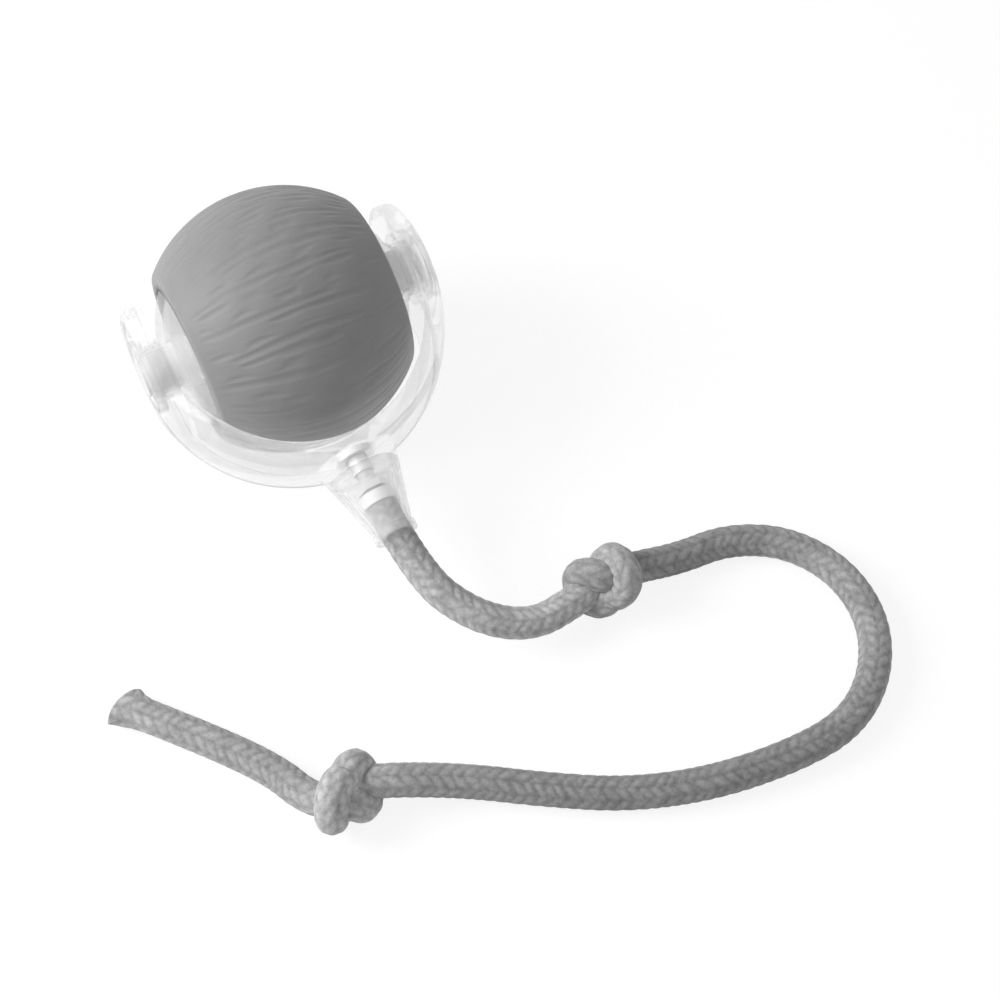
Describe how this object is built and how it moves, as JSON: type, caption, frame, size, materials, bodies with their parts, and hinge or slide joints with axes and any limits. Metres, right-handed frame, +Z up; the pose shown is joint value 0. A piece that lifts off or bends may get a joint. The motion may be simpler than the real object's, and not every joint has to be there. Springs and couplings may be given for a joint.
{
  "type": "self rolling cat ball",
  "caption": "Motor ball for cats that rolls by itself in a clear yoke and drags a knotted rope tail on a swivel.",
  "frame": {"origin": "the point where the ball touches the floor, straight under the middle of the ball's axis", "axes": "+X along the ball's axis towards the charging socket, +Z up, the yoke's neck and rope leave towards -Y"},
  "size_m": [0.1753, 0.184, 0.065],
  "materials": {
    "grip_rubber": "matte rippled silicone",
    "clear_shell": "clear",
    "clear_yoke": "clear",
    "seal_rubber": "matte",
    "gear_plastic": "satin",
    "brass": "satin",
    "steel": "satin",
    "weight_steel": "zinc plated",
    "carriage_plastic": "satin",
    "battery_foil": "wrapped foil",
    "board": "solder mask",
    "light": "diffused",
    "switch_plastic": "matte",
    "button_plastic": "gloss",
    "plug_rubber": "matte",
    "rope": "braided cord"
  },
  "bodies": {
    "tail": {"rope_sleeve": "clear_yoke", "swivel_pin": "steel", "swivel_nut": "steel", "rope_anchor": "rope", "rope_crimp": "steel", "rope_lead": "rope", "near_knot": "rope", "rope_middle": "rope", "far_knot": "rope", "rope_tail": "rope"},
    "yoke": {"yoke": "clear_yoke"},
    "ball": {"grip_sleeve": "grip_rubber", "left_shell": "clear_shell", "right_shell": "clear_shell", "seal_ring": "seal_rubber", "left_axle_cap": "clear_yoke", "right_axle_cap": "clear_yoke", "drive_gear": "gear_plastic"},
    "carriage": {"carriage": "carriage_plastic", "drive_motor": "steel", "battery": "battery_foil", "circuit_board": "board", "indicator_lights": "light", "board_screws": "steel", "balance_weight": "weight_steel", "weight_screws": "steel", "tact_switch": "switch_plastic", "usb_socket": "steel", "gear_pin": "steel"},
    "compound": {"compound_gear": "gear_plastic"},
    "pinion": {"motor_pinion": "brass", "motor_shaft": "steel"},
    "button": {"power_button": "button_plastic"},
    "plug": {"port_plug": "plug_rubber"}
  },
  "joints": [
    {"name": "swivel", "type": "hinge", "parent": "tail", "child": "yoke", "pos_m": [0, 0, 0.0325], "axis": [0, -0.9848, -0.1736], "continuous": true},
    {"name": "ball_spin", "type": "hinge", "parent": "yoke", "child": "ball", "pos_m": [0, 0, 0.0325], "axis": [1, 0, 0], "continuous": true},
    {"name": "carriage_turn", "type": "hinge", "parent": "ball", "child": "carriage", "pos_m": [0, 0, 0.0325], "axis": [1, 0, 0], "continuous": true},
    {"name": "compound_spin", "type": "hinge", "parent": "carriage", "child": "compound", "pos_m": [0, 0.01034, 0.02247], "axis": [1, 0, 0], "continuous": true},
    {"name": "pinion_spin", "type": "hinge", "parent": "carriage", "child": "pinion", "pos_m": [0, 0, 0.01934], "axis": [1, 0, 0], "continuous": true},
    {"name": "button_press", "type": "slide", "parent": "carriage", "child": "button", "axis": [1, 0, 0], "range_m": [0, 0.0005], "stiffness_N_per_m": 1500},
    {"name": "plug_pull", "type": "slide", "parent": "carriage", "child": "plug", "axis": [1, 0, 0], "range_m": [0, 0.008]}
  ],
  "couplings": [
    {"joint": "compound_spin", "follows": "carriage_turn", "ratio": 3},
    {"joint": "pinion_spin", "follows": "carriage_turn", "ratio": -7.8}
  ]
}
